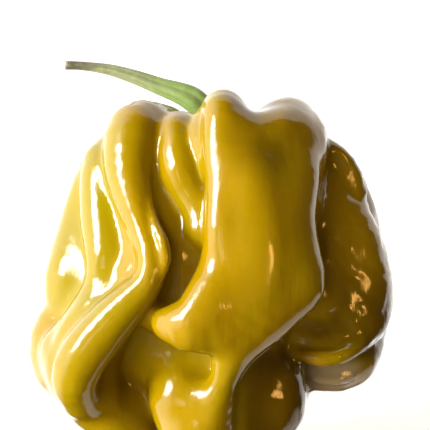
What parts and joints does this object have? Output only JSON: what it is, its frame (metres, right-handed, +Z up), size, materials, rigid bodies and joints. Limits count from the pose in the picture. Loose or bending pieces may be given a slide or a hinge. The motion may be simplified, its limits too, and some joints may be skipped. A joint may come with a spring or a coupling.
{
  "type": "chilli pepper",
  "caption": "Wrinkled, deeply folded mustard-coloured chilli pepper with a thin curved green stalk, standing upright on its lobed foot.",
  "frame": {"origin": "centre of the bottom face of the bounding box, on the surface that the pepper stands on", "axes": "+Z up; -Y towards the front, where the broad front flap with its pointed nose is; +X to the right as seen from the front"},
  "size_m": [0.0474, 0.0426, 0.0535],
  "materials": {
    "skin": "waxy gloss",
    "stalk": "matt, faintly ribbed"
  },
  "bodies": {
    "root": {"pod": "skin", "stalk": "stalk"}
  },
  "joints": []
}
